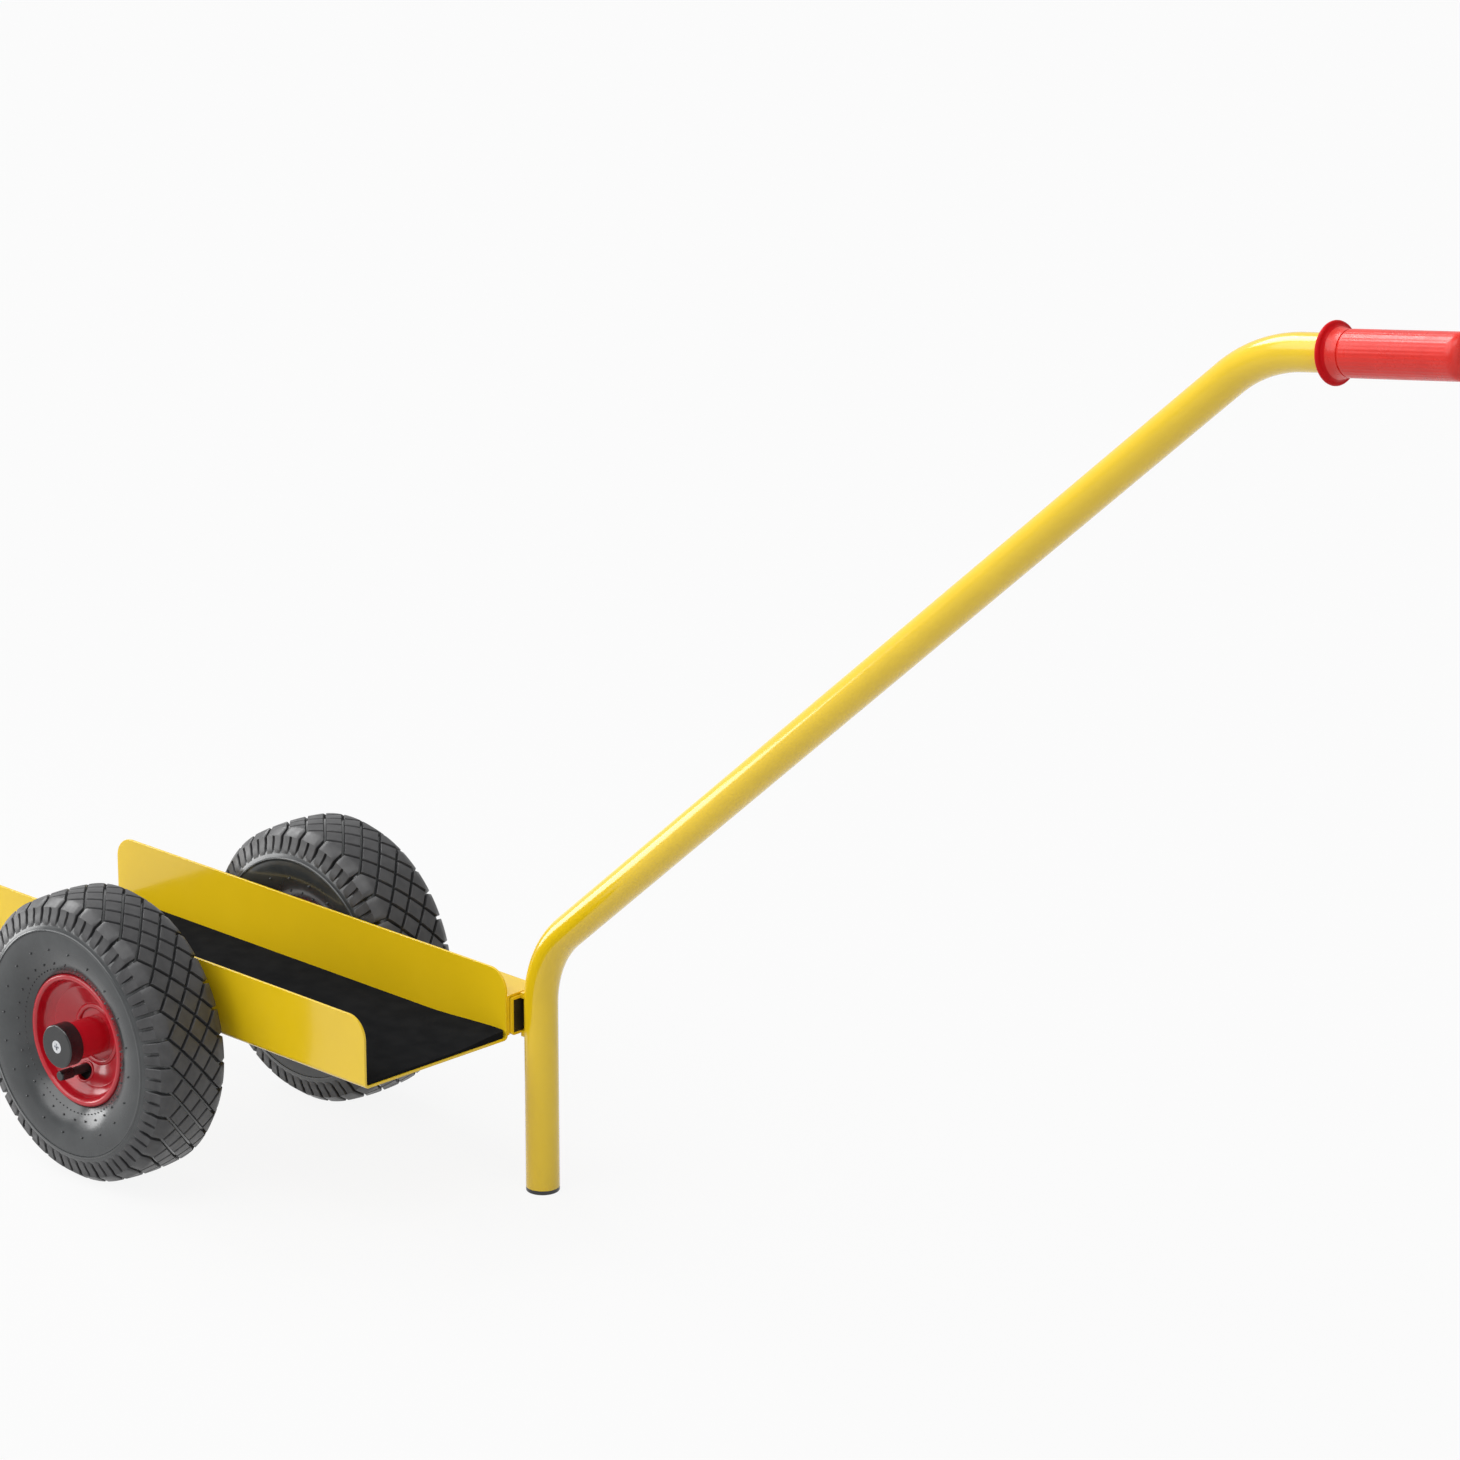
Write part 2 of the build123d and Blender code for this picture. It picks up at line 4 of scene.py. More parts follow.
import bmesh
import bpy
import numpy as np
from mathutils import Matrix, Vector


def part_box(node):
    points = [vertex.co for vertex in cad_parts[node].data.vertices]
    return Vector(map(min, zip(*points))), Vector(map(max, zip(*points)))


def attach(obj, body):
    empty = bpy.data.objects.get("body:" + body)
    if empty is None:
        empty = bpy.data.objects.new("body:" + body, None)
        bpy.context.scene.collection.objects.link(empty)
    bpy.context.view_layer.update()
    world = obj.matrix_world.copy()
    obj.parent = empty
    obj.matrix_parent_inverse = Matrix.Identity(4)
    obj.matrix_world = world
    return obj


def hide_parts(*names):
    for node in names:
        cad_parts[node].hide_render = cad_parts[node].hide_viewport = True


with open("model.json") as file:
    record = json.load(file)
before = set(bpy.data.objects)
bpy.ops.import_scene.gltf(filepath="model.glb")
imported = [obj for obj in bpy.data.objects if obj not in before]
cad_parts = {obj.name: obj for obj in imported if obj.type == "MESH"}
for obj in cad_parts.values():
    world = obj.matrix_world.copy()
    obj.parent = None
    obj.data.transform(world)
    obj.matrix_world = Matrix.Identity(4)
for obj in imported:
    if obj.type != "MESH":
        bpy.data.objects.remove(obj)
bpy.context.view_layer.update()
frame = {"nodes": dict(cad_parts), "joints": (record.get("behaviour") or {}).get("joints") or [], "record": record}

# Panel dolly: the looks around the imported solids. Metres, in the part's own frame: +Z up, +X
# along the tray towards the hand grip, the right wheel at -Y and the handle at +Y.
nodes = frame["nodes"]
slot_of = {part["node"]: part["material_slot"] for part in frame["record"]["subparts"]}
body_of = {
    node_name: body
    for body, names in frame["record"]["behaviour"]["bodies"].items()
    for node_name in names
}
wheel_centres = {
    joint["child"]: Vector(joint["pos_m"]) for joint in frame["joints"] if joint["type"] == "hinge"
}
outward = Vector((0, 1, 0))

# Tyre: outer sizes from the frame, profile as on the solid, and how finely it is drawn
tyre_low, tyre_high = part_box("right_tyre")
tyre_radius = (tyre_high.z - tyre_low.z) / 2
tyre_half_width = (tyre_high.y - tyre_low.y) / 2
lip_low, lip_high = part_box("right_rim_band")
lip_radius = (lip_high.z - lip_low.z) / 2
lip_half_width = (lip_high.y - lip_low.y) / 2
tread_half_width = 0.0275
tread_crown_drop = 0.0016
shoulder_drop = 0.011
shoulder_inset = 0.006
shoulder_rise = shoulder_drop / 3
tyre_wall = 0.005
tyre_bead_run = 0.0011
tyre_bead_fall = 0.0011
tyre_bead_points = 3
crown_steps = 24
shoulder_steps = 16
sidewall_steps = 60
tyre_steps = 192
casing_outside_stride = 2
casing_inside_stride = 6
casing_inside_radius = lip_radius + 2 * tyre_wall

# Tread: crossing grooves that leave diamond blocks. Each row of blocks has its place, counted in
# rows from the middle, and its turn, counted in half pitches.
tread_pitches = 32
tread_row = 0.011
tread_half_turn = pi / tread_pitches
tread_half_pitch = tread_half_turn * tyre_radius
tread_reach = tread_half_pitch * tread_row / np.hypot(tread_half_pitch, tread_row)
tread_phase = {"right_wheel": radians(1.6), "left_wheel": radians(10.85)}
block_rows = ((-1.5, 0), (-0.5, 1), (0.5, 0), (1.5, 1))
block_inner_shares = (0.33, 0.67)
block_bevel = 0.0005
block_root = 0.0012
groove_width = 0.0026
groove_depth = 0.0042
groove_draft = 0.0005

# Shoulder lugs: a slot between two lugs, and a sipe in the middle of each. The columns are shares
# of a lug's half width.
outer_row = 1.5
slot_width = 0.0034
lug_tip_bevel = 0.0006
lug_end_bevel = 0.0008
lug_end_radius = 0.1055
lug_fade_radius = 0.110
lug_end_sink = 0.15
lug_rows = 8
lug_columns = (-1, -0.94, -0.55, -0.17, -0.09, 0.09, 0.17, 0.55, 0.94, 1)
sipe_half_share = 0.1
sipe_depth = 0.0022
sipe_start_radius = 0.1225
sipe_entry = 0.0012
sipe_floor_sink = 0.0002
casing_fade = 0.002

# Sidewall: one raised ring, drawn at these shares of its half width, and circles of small moulding
# nubs, each with its radius, number of nubs and radius of a nub. The nub's levels are its radius
# and its height as shares of the nub's radius.
ring_radius = 0.1025
ring_half_width = 0.0009
ring_height = 0.0007
ring_shares = (-1.6, -1.0, -0.5, 0.5, 1.0, 1.6)
ring_top_share = 0.51
ring_edge_height = ring_height / 3
same_place = 1e-9
nub_circles = ((0.0660, 84, 0.0007), (0.0715, 30, 0.0011), (0.0850, 20, 0.0011))
nub_first_share = 0.3
nub_sides = 8
nub_root = 0.0004
nub_levels = ((0.8, 0.9), (0.35, 1.25))

# Mat: its rounded corners, the bevel under its long sides and the corner that rides up
mat_corner_radius = 0.004
mat_corner_shares = (0, 0.1, 0.3, 0.6, 1.0)
mat_bevel = 0.002
mat_edge_drop = 0.0004
mat_lift = 0.0042
mat_lift_length = 0.100
mat_lift_width = 0.060
mat_inner_start = 0.008
mat_inner_columns = 12
mat_rows = 60

# Rim: the rolled lip, the wall inside it and the fillet down to the disc; the ring round the hub.
# Its lines are points of radius and offset from the wheel's middle. The lip's roll is in degrees.
lip_roll_radius = 0.0030
lip_roll_start = -70
lip_roll_turn = 248
lip_roll_steps = 16
rim_wall_radius = 0.0540
rim_wall_end = 0.0247
rim_fillet_radius = 0.0070
rim_fillet_turn = radians(61.6)
rim_fillet_steps = 8
rim_outside = ((0.0510, 0.0), (0.0510, 0.0140), (0.0560, 0.0225))
rim_inside = ((0.0460, 0.01635), (0.0453, 0.0156), (0.0492, 0.0150), (0.0492, 0.0))
rim_steps = 128
hub_ring_radius = 0.0260
hub_ring_offset = 0.0053
hub_ring_half_width = 0.0029
hub_ring_height = 0.0026
hub_ring_root = 0.001
hub_ring_points = 14
hub_ring_steps = 96

# Valve: the pressed lip round its hole in the outer disc
valve_turn = radians(71.0)
valve_radius = 0.0355
valve_hole_turn = radians(74.4)
valve_hole_place = 0.0379
valve_hole_offset = 0.0118
valve_hole_radius = 0.0075
valve_lip_radius = 0.0013
valve_lip_seat = 0.8
valve_lip_points = 14
valve_lip_steps = 48
disc_slope = 0.540

# Valve cap: points of its foot and head, each a share of the cap's radius, a distance from the
# cap's start or end, and a share of the rib height
valve_cap_radius = 0.0048
valve_cap_start = 0.0261
valve_cap_end = 0.0401
valve_cap_foot = ((0.80, 0.0, 0), (0.97, 0.0, 0), (1.0, 0.0002, 0), (1.0, 0.0012, 1))
valve_cap_head = ((1.0, 0.0030, 1), (0.94, 0.0022, 0), (0.90, 0.0006, 0), (0.80, 0.0, 0))
valve_cap_bore_share = 0.80
valve_cap_end_wall = 0.002
valve_cap_middle = 0.0002
valve_cap_ribs = 20
valve_cap_rib_steps = 4
valve_cap_rib_height = 0.0004

# Handle: the bent tube's line as on the solid, from the foot cap up to the grip
foot_low, foot_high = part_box("foot_cap")
leg_place = (foot_low + foot_high) / 2
tube_radius = 0.015
tube_wall = 0.002
tube_foot = 0.004
leg_bend_height = 0.2191
leg_bend_radius = 0.100
handle_angle = radians(40.8)
handle_rise = 0.6779
hand_bend_radius = 0.140
hand_bend = (leg_place.x + handle_rise / tan(handle_angle), leg_bend_height + handle_rise)
hand_angle = radians(8.7)
tube_sides = 64
bend_step = radians(2.0)

# Hand grip: a flared flange, a ring groove where the flare ends, and fine ribs along the sleeve.
# The groove's line is its depth at distances from the groove's start.
grip_start = 0.0692
grip_length = 0.126
grip_radius = 0.0182
grip_bore_gap = 0.0001
grip_bore_radius = tube_radius + grip_bore_gap
grip_flange_radius = 0.0244
grip_face_edge = 0.002
grip_face_dish = 0.0001
grip_rim_radius = 0.0021
grip_rim_steps = 9
# Painted shade: this many points of the grip's outline, from the bore out over the flange's face and rim, take a
# darker red copy of the grip's plastic
grip_painted_shade_points = 16
grip_flare_end = 0.0150
grip_flare_steps = 12
grip_groove_gap = 0.0004
grip_groove_line = ((0.0, 0.0), (0.0007, 0.0002), (0.0007, 0.0008), (0.0002, 0.0010), (0.0, 0.0013))
grip_end_radius = 0.008
grip_end_steps = 12
grip_end_wall = 0.004
grip_middle = 0.0003
grip_rib_lead = 0.004
grip_rib_trail = 0.003
grip_rib_fade = 0.001
grip_rib_count = 36
grip_rib_steps = 8
grip_rib_height = 0.00016

# Width by which the sharp edges of these solids are rounded off
soft_edges = {
    "tray": 0.0005, "handle_sleeve": 0.0004, "handle_tongue": 0.0004,
    "tongue_front_plug": 0.0004, "tongue_rear_plug": 0.0004, "leg_welds": 0.0010,
    "foot_cap": 0.0004, "axle_saddles": 0.0005, "axle_collars": 0.0004, "clamp_nut": 0.0004,
    "clamp_bolt": 0.0004,
}
weld_distance = 1e-6
flat_angle = radians(0.3)
round_off_angle = radians(30)
round_off_segments = 2
shared_normal_angle = radians(40.0)

# Edges of new pieces that are sharper than this stay sharp
sharp_angle = radians(35.0)

# Finishes: the two tones and the scale of the mottle, the range and the scale of the roughness,
# the scale and the depth of the grain, and the shader's other values
finish_table = {
    "yellow_paint": (
        ((0.84, 0.565, 0.008), (0.88, 0.595, 0.010)), 9.0, (0.14, 0.20), 30.0, 650.0, 0.000015,
        {"Coat Weight": 0.3, "Coat Roughness": 0.05},
    ),
    "red_paint": (
        ((0.50, 0.007, 0.018), (0.55, 0.009, 0.022)), 20.0, (0.16, 0.24), 60.0, 400.0, 0.00001,
        {"Coat Weight": 0.22, "Coat Roughness": 0.04},
    ),
    "mat_rubber": (
        ((0.0105, 0.011, 0.012), (0.0140, 0.0145, 0.0155)), 60.0, (0.60, 0.75), 25.0, 900.0, 0.00012,
        {"Specular IOR Level": 0.0},
    ),
    "wall_rubber": (
        ((0.028, 0.031, 0.033), (0.039, 0.043, 0.045)), 45.0, (0.17, 0.25), 70.0, 1200.0, 0.00005,
        {"Specular IOR Level": 0.7},
    ),
    "tube_rubber": (
        ((0.018, 0.018, 0.018), (0.026, 0.026, 0.026)), 80.0, (0.5, 0.65), 60.0, 1500.0, 0.00006, {},
    ),
    "black_plastic": (
        ((0.011, 0.0115, 0.0125), (0.017, 0.0175, 0.0185)), 120.0, (0.14, 0.21), 80.0, 1600.0, 0.00003,
        {"Specular IOR Level": 0.6},
    ),
    "grip_plastic": (
        ((0.70, 0.020, 0.012), (0.78, 0.028, 0.017)), 40.0, (0.24, 0.36), 90.0, 380.0, 0.00016,
        {"Specular IOR Level": 0.45},
    ),
    "cage_plastic": (
        ((0.66, 0.62, 0.50), (0.74, 0.70, 0.60)), 150.0, (0.35, 0.45), 200.0, 1500.0, 0.00003, {},
    ),
    "bare_steel": (
        ((0.42, 0.42, 0.43), (0.56, 0.56, 0.57)), 150.0, (0.24, 0.36), 260.0, 1800.0, 0.00003,
        {"Metallic": 1.0},
    ),
    "zinc_steel": (
        ((0.62, 0.63, 0.65), (0.74, 0.75, 0.77)), 300.0, (0.18, 0.30), 300.0, 2500.0, 0.00002,
        {"Metallic": 1.0},
    ),
    "tread_rubber": (
        ((0.036, 0.036, 0.038), (0.054, 0.054, 0.056)), 90.0, (0.36, 0.50), 120.0, 1500.0, 0.00012, {},
    ),
    # Painted shade: the grip's own red plastic made darker, more saturated and less shiny, for the flange's face
    # and rim, standing in for the dark that the rim reflects
    "grip_rim_painted_shade": (
        ((0.56, 0.004, 0.007), (0.61, 0.005, 0.009)), 40.0, (0.30, 0.42), 90.0, 900.0, 0.00005,
        {"Specular IOR Level": 0.1},
    ),
}
finish_of_slot = {"tyre_rubber": "wall_rubber"}
mottle_stops = (0.35, 0.65)
mottle_detail = 4.0
gloss_stops = (0.3, 0.7)
gloss_detail = 3.0
grain_detail = 2.0
grain_strength = 0.5

# Stage: a floor that is white along the camera's line and fades to a pale grey surround
floor_radius = 16.0
floor_sides = 96
floor_white_half_width = 1.8
floor_fade_width = 2.5
floor_colour = 0.55
floor_roughness = 0.9
floor_shine = 0.90
surround_light = 0.28
surround_shown = 0.69

# Lamps: each sun has the direction its light comes from, its strength and its spread in degrees
suns = {
    "key": ((-0.45, -0.70, 0.75), 1.80, 60.0),
    "top": ((0.20, -0.20, 0.95), 0.70, 30.0),
    "side": ((0.85, -0.42, 0.40), 0.42, 60.0),
    "left": ((-0.78, 0.08, 0.62), 1.35, 28.0),
}
panel_place = (-1.75, -0.45, 0.28)
panel_size = (0.9, 0.5)
panel_power = 6.4

# Camera as fitted to the photograph
camera_azimuth = radians(44.5)
camera_elevation = radians(17.8)
camera_distance = 4.7406
camera_target_ahead = 0.6418
camera_target_height = 0.5227
camera_lens = 145.65
camera_sensor = 36.0


# Helpers
def smooth_step(value, low, high):
    """0 below the low end, 1 above the high end, and a soft rise between them."""
    t = np.clip((value - low) / (high - low), 0.0, 1.0)
    return t * t * (3 - 2 * t)


def arc(start, middle, end, count):
    """Points on the circle through three points, from the first to just before the last."""
    first, second, third = (complex(*point) for point in (start, middle, end))
    ratio = (third - first) / (second - first)
    centre = (second - first) * (ratio - abs(ratio) ** 2) / (2j * ratio.imag) + first
    turn = np.angle((second - centre) / (first - centre))
    turn += np.angle((third - centre) / (second - centre))
    points = [(first - centre) * np.exp(1j * turn * step / count) + centre for step in range(count)]
    return [(point.real, point.imag) for point in points]


def link(thing):
    bpy.context.scene.collection.objects.link(thing)


def place_piece(piece, node_name):
    """Let a piece ride with the body of the solid that it replaces, and hide that solid."""
    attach(piece, body_of[node_name])
    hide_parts(node_name)


# Meshes
def mesh_piece(name, parts):
    """New object from a list of (points, faces, material) shells, smooth but for sharp edges."""
    points, faces, kinds, materials = [], [], [], []
    for part_points, part_faces, material in parts:
        if material not in materials:
            materials.append(material)
        start = len(points)
        points.extend(part_points)
        faces.extend([[start + i for i in face] for face in part_faces])
        kinds.extend([materials.index(material)] * len(part_faces))
    mesh = bpy.data.meshes.new(name)
    mesh.from_pydata([tuple(point) for point in points], [], faces)
    for material in materials:
        mesh.materials.append(material)
    mesh.polygons.foreach_set("material_index", kinds)
    mesh.polygons.foreach_set("use_smooth", [True] * len(faces))
    mesh.validate()
    mesh.set_sharp_from_angle(angle=sharp_angle)
    piece = bpy.data.objects.new(name, mesh)
    link(piece)
    return piece


def grid_faces(rows, columns, start=0, flip=False):
    """Quads of a grid of points that is stored row by row."""
    faces = []
    for row in range(rows - 1):
        for column in range(columns - 1):
            i = start + row * columns + column
            quad = [i, i + 1, i + columns + 1, i + columns]
            faces.append(quad[::-1] if flip else quad)
    return faces


def closed_block(top, bottom):
    """Closed shell between two grids of points of the same shape."""
    rows, columns, _ = top.shape
    count = rows * columns
    faces = grid_faces(rows, columns) + grid_faces(rows, columns, count, flip=True)
    edge = [(0, column) for column in range(columns - 1)]
    edge += [(row, columns - 1) for row in range(rows - 1)]
    edge += [(rows - 1, column) for column in range(columns - 1, 0, -1)]
    edge += [(row, 0) for row in range(rows - 1, 0, -1)]
    loop = [row * columns + column for row, column in edge]
    for i, j in zip(loop, loop[1:] + loop[:1]):
        faces.append([j, i, count + i, count + j])
    return np.concatenate([top.reshape(-1, 3), bottom.reshape(-1, 3)]), faces


def ring_faces(count, steps):
    """Quads of a closed outline of points that is turned in a number of steps."""
    faces = []
    for step in range(steps):
        here, there = step * count, (step + 1) % steps * count
        for i in range(count):
            j = (i + 1) % count
            faces.append([here + i, here + j, there + j, there + i])
    return faces


def turned(outline, steps):
    """Shell made by turning a closed outline of (radius, offset) about the Y axis."""
    points = []
    for step in range(steps):
        angle = 2 * pi * step / steps
        points.extend((radius * cos(angle), offset, radius * sin(angle)) for radius, offset in outline)
    return points, ring_faces(len(outline), steps)


def turned_with_ribs(outline, rib_count, rib_steps, rib_height):
    """Like turned, with ribs along it: each point also has its share of the rib height."""
    steps = rib_count * rib_steps
    points = []
    for step in range(steps):
        angle = 2 * pi * step / steps
        rib = rib_height * (cos(rib_count * angle) - 1) / 2
        for radius, offset, share in outline:
            reach = radius + share * rib
            points.append((reach * cos(angle), offset, reach * sin(angle)))
    return points, ring_faces(len(outline), steps)


def set_normals(mesh, smooth_angle):
    """Normals weighted by face area, so that flat faces stay flat beside rounded edges."""
    limit = cos(smooth_angle)
    normals = [face.normal.copy() for face in mesh.polygons]
    weights = [face.normal * face.area for face in mesh.polygons]
    around = [[] for _ in mesh.vertices]
    for face in mesh.polygons:
        for vertex in face.vertices:
            around[vertex].append(face.index)
    corners = []
    for face in mesh.polygons:
        for vertex in face.vertices:
            total = Vector((0, 0, 0))
            for other in around[vertex]:
                if normals[other].dot(normals[face.index]) > limit:
                    total += weights[other]
            corners.append(total.normalized())
    mesh.normals_split_custom_set(corners)


def soft_copy(node_name, width):
    """Copy of a solid with its sharp edges rounded off, in place of the solid."""
    node = nodes[node_name]
    shape = bmesh.new()
    shape.from_mesh(node.data)
    shape.transform(node.matrix_world)
    bmesh.ops.remove_doubles(shape, verts=shape.verts, dist=weld_distance)
    bmesh.ops.dissolve_limit(shape, angle_limit=flat_angle, verts=shape.verts, edges=shape.edges)
    sharp = [
        edge for edge in shape.edges
        if edge.is_manifold and edge.calc_face_angle() > round_off_angle
    ]
    bmesh.ops.bevel(
        shape, geom=sharp, offset=width, segments=round_off_segments, profile=0.5, affect="EDGES",
        clamp_overlap=True,
    )
    mesh = bpy.data.meshes.new(f"{node_name}_soft")
    shape.to_mesh(mesh)
    shape.free()
    mesh.polygons.foreach_set("use_smooth", [True] * len(mesh.polygons))
    set_normals(mesh, shared_normal_angle)
    mesh.materials.append(node.data.materials[0])
    piece = bpy.data.objects.new(f"{node_name}_soft", mesh)
    link(piece)
    place_piece(piece, node_name)


# Mat
def mat_piece(rubber):
    """Thin sheet between the tray's walls, in place of the flat solid."""
    low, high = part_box("anti_slip_mat")
    length, half_width = high.x - low.x, (high.y - low.y) / 2
    corner = mat_corner_radius * np.array(mat_corner_shares)
    edge = np.concatenate([corner, np.linspace(mat_inner_start, half_width, mat_inner_columns)])
    across = np.concatenate([edge - half_width, (half_width - edge)[::-1][1:]])
    t, y = np.meshgrid(np.linspace(0, 1, mat_rows), across, indexing="ij")
    past = np.clip(np.abs(y) - (half_width - mat_corner_radius), 0, mat_corner_radius)
    cut = mat_corner_radius - np.sqrt(mat_corner_radius ** 2 - past ** 2)
    x = low.x + cut + t * (length - 2 * cut)
    lift = mat_lift * smooth_step(x, high.x - mat_lift_length, high.x)
    lift = lift * smooth_step(y, half_width - mat_lift_width, half_width)
    under = np.clip(np.abs(y) - (half_width - mat_bevel), 0, mat_bevel)
    border = (t == 0) | (t == 1) | (np.abs(y) == half_width)
    top = np.stack([x, y, high.z + lift - np.where(border, mat_edge_drop, 0.0)], axis=-1)
    bottom = np.stack([x, y, low.z + under], axis=-1)
    mat = mesh_piece("anti_slip_mat_laid", [(*closed_block(top[:, ::-1], bottom[:, ::-1]), rubber)])
    place_piece(mat, "anti_slip_mat")


# Handle tube and grip
def bent_line(corners, radii):
    """Points along a line with rounded corners, each with its direction, in the X-Z plane."""
    line = []
    for number in range(1, len(corners) - 1):
        before, here, after = (np.array(corners[number + k]) for k in (-1, 0, 1))
        radius = radii[number - 1]
        come = (here - before) / np.linalg.norm(here - before)
        go = (after - here) / np.linalg.norm(after - here)
        left = np.array([-come[1], come[0]])
        bend = np.arctan2(come[0] * go[1] - come[1] * go[0], come @ go)
        reach = radius * np.tan(abs(bend) / 2)
        centre = here - come * reach + np.sign(bend) * left * radius
        count = max(2, int(abs(bend) / bend_step))
        if number == 1:
            line.append((np.array(corners[0]), come))
        for step in range(count + 1):
            turn = bend * step / count
            way = come * cos(turn) + left * sin(turn)
            spoke = np.sign(bend) * np.array([way[1], -way[0]])
            line.append((centre + spoke * radius, way))
    line.append((np.array(corners[-1]), go))
    return line


def tube_shell(line, outer, inner, sides):
    """Closed shell of a round tube along a line in the X-Z plane."""
    angles = 2 * pi * np.arange(sides) / sides
    rings = []
    for radius, order in ((outer, line), (inner, line[::-1])):
        across, aside = radius * np.cos(angles), radius * np.sin(angles)
        for (x, z), (way_x, way_z) in order:
            rings.append(np.stack([x - across * way_z, aside, z + across * way_x], axis=1))
    count = len(rings)
    faces = []
    for number in range(count):
        here, there = number * sides, (number + 1) % count * sides
        for i in range(sides):
            j = (i + 1) % sides
            faces.append([here + i, there + i, there + j, here + j])
    return np.concatenate(rings), faces


def handle_tube_piece(paint):
    """Bent tube from the foot to the grip's end wall, in place of the solid."""
    tube_end = grip_start + grip_length - grip_end_wall
    corners = [
        (leg_place.x, tube_foot),
        (leg_place.x, leg_bend_height),
        hand_bend,
        (hand_bend[0] + tube_end * cos(hand_angle), hand_bend[1] + tube_end * sin(hand_angle)),
    ]
    line = bent_line(corners, (leg_bend_radius, hand_bend_radius))
    points, faces = tube_shell(line, tube_radius, tube_radius - tube_wall, tube_sides)
    piece = mesh_piece("handle_tube_bent", [(points, faces, paint)])
    piece.location.y = leg_place.y
    place_piece(piece, "handle_tube")


def grip_outline():
    """Half section of the grip: (radius, place along it, share of the rib height)."""
    rim = grip_flange_radius - grip_rim_radius
    rim_width = 2 * grip_rim_radius
    line = [(grip_bore_radius, 0.0, 0), (rim - grip_face_edge, 0.0, 0), (rim, grip_face_dish, 0)]
    for step in range(1, grip_rim_steps + 1):
        turn = pi * step / grip_rim_steps
        line.append((rim + grip_rim_radius * sin(turn), grip_rim_radius * (1 - cos(turn)), 0))
    for step in range(1, grip_flare_steps + 1):
        turn = pi / 2 * step / grip_flare_steps
        radius = rim - (rim - grip_radius) * sin(turn)
        line.append((radius, rim_width + (grip_flare_end - rim_width) * (1 - cos(turn)), 0))
    groove = grip_flare_end + grip_groove_gap
    line += [(grip_radius - depth, groove + place, 0) for depth, place in grip_groove_line]
    start, stop = groove + grip_rib_lead, grip_length - grip_end_radius - grip_rib_trail
    line += [(grip_radius, start - grip_rib_fade, 0), (grip_radius, start, 1)]
    line += [(grip_radius, stop, 1), (grip_radius, stop + grip_rib_fade, 0)]
    for step in range(grip_end_steps + 1):
        turn = pi / 2 * step / grip_end_steps
        radius = grip_radius - grip_end_radius * (1 - cos(turn))
        line.append((radius, grip_length - grip_end_radius * (1 - sin(turn)), 0))
    inner_end = grip_length - grip_end_wall
    line += [(grip_middle, grip_length, 0), (grip_middle, inner_end, 0)]
    line.append((grip_bore_radius, inner_end, 0))
    return line


def grip_piece(plastic, rim_painted_shade):
    """Grip turned about its own Y axis, then laid on the tube's hand end."""
    outline = grip_outline()
    shell = turned_with_ribs(outline, grip_rib_count, grip_rib_steps, grip_rib_height)
    piece = mesh_piece("hand_grip_ribbed", [(*shell, plastic)])
    piece.data.materials.append(rim_painted_shade)
    # The flange's first outline points take the darker copy of the plastic, a painted shade on the same plastic
    for face in piece.data.polygons:
        face.material_index = int(face.index % len(outline) < grip_painted_shade_points)
    along = Vector((cos(hand_angle), 0, sin(hand_angle)))
    start = Vector((hand_bend[0], leg_place.y, hand_bend[1]))
    piece.rotation_mode = "QUATERNION"
    piece.rotation_quaternion = outward.rotation_difference(along)
    piece.location = start + along * grip_start
    place_piece(piece, "hand_grip")


# Tyre profile from the crown to the rim, on the side of positive offset
def bent_towards(start, end, rise):
    """Middle of two points, moved out by half the rise both ways."""
    return ((start[0] + end[0] + rise) / 2, (start[1] + end[1] + rise) / 2)


def tyre_profile():
    crown = (tyre_radius, 0.0)
    crown_middle = (tyre_radius - tread_crown_drop / 4, tread_half_width / 2)
    edge = (tyre_radius - tread_crown_drop, tread_half_width)
    shoulder = (tyre_radius - shoulder_drop, tyre_half_width - shoulder_inset)
    bulge = ((lip_radius + tyre_radius) / 2, tyre_half_width)
    neck = (lip_radius + tyre_wall / 2, lip_half_width)
    line = arc(crown, crown_middle, edge, crown_steps)
    line += arc(edge, bent_towards(edge, shoulder, shoulder_rise), shoulder, shoulder_steps)
    line += arc(shoulder, bulge, neck, sidewall_steps)
    for step in range(tyre_bead_points):
        line.append((neck[0] - step * tyre_bead_run, neck[1] - step * tyre_bead_fall))
    return np.array(line)


profile = tyre_profile()
profile_length = np.concatenate([[0], np.cumsum(np.linalg.norm(np.diff(profile, axis=0), axis=1))])
profile_slope = np.gradient(profile, profile_length, axis=0)


def along_at_radius(radius):
    """Length along the profile at which the sidewall has a given radius."""
    return float(np.interp(-radius, -profile[:, 0], profile_length))


lug_end = along_at_radius(lug_end_radius)
lug_fade = along_at_radius(lug_fade_radius)
ring_along = along_at_radius(ring_radius)
sipe_start = along_at_radius(sipe_start_radius)


def on_tyre(turn, along, height):
    """Points on the tyre: angle about the axle, length along the profile, height off it."""
    turn, along, height = np.broadcast_arrays(turn, along, height)
    side = np.where(along < 0, -1.0, 1.0)
    place = np.abs(along)
    radius = np.interp(place, profile_length, profile[:, 0])
    offset = np.interp(place, profile_length, profile[:, 1])
    radius_slope = np.interp(place, profile_length, profile_slope[:, 0])
    offset_slope = np.interp(place, profile_length, profile_slope[:, 1])
    radius = radius + height * offset_slope
    offset = side * (offset - height * radius_slope)
    return np.stack([radius * np.cos(turn), offset, radius * np.sin(turn)], axis=-1)


def casing_depth(along):
    """How far the casing lies below the tops of blocks and lugs."""
    return groove_depth * (1 - smooth_step(np.abs(along), sipe_start, lug_end + casing_fade))


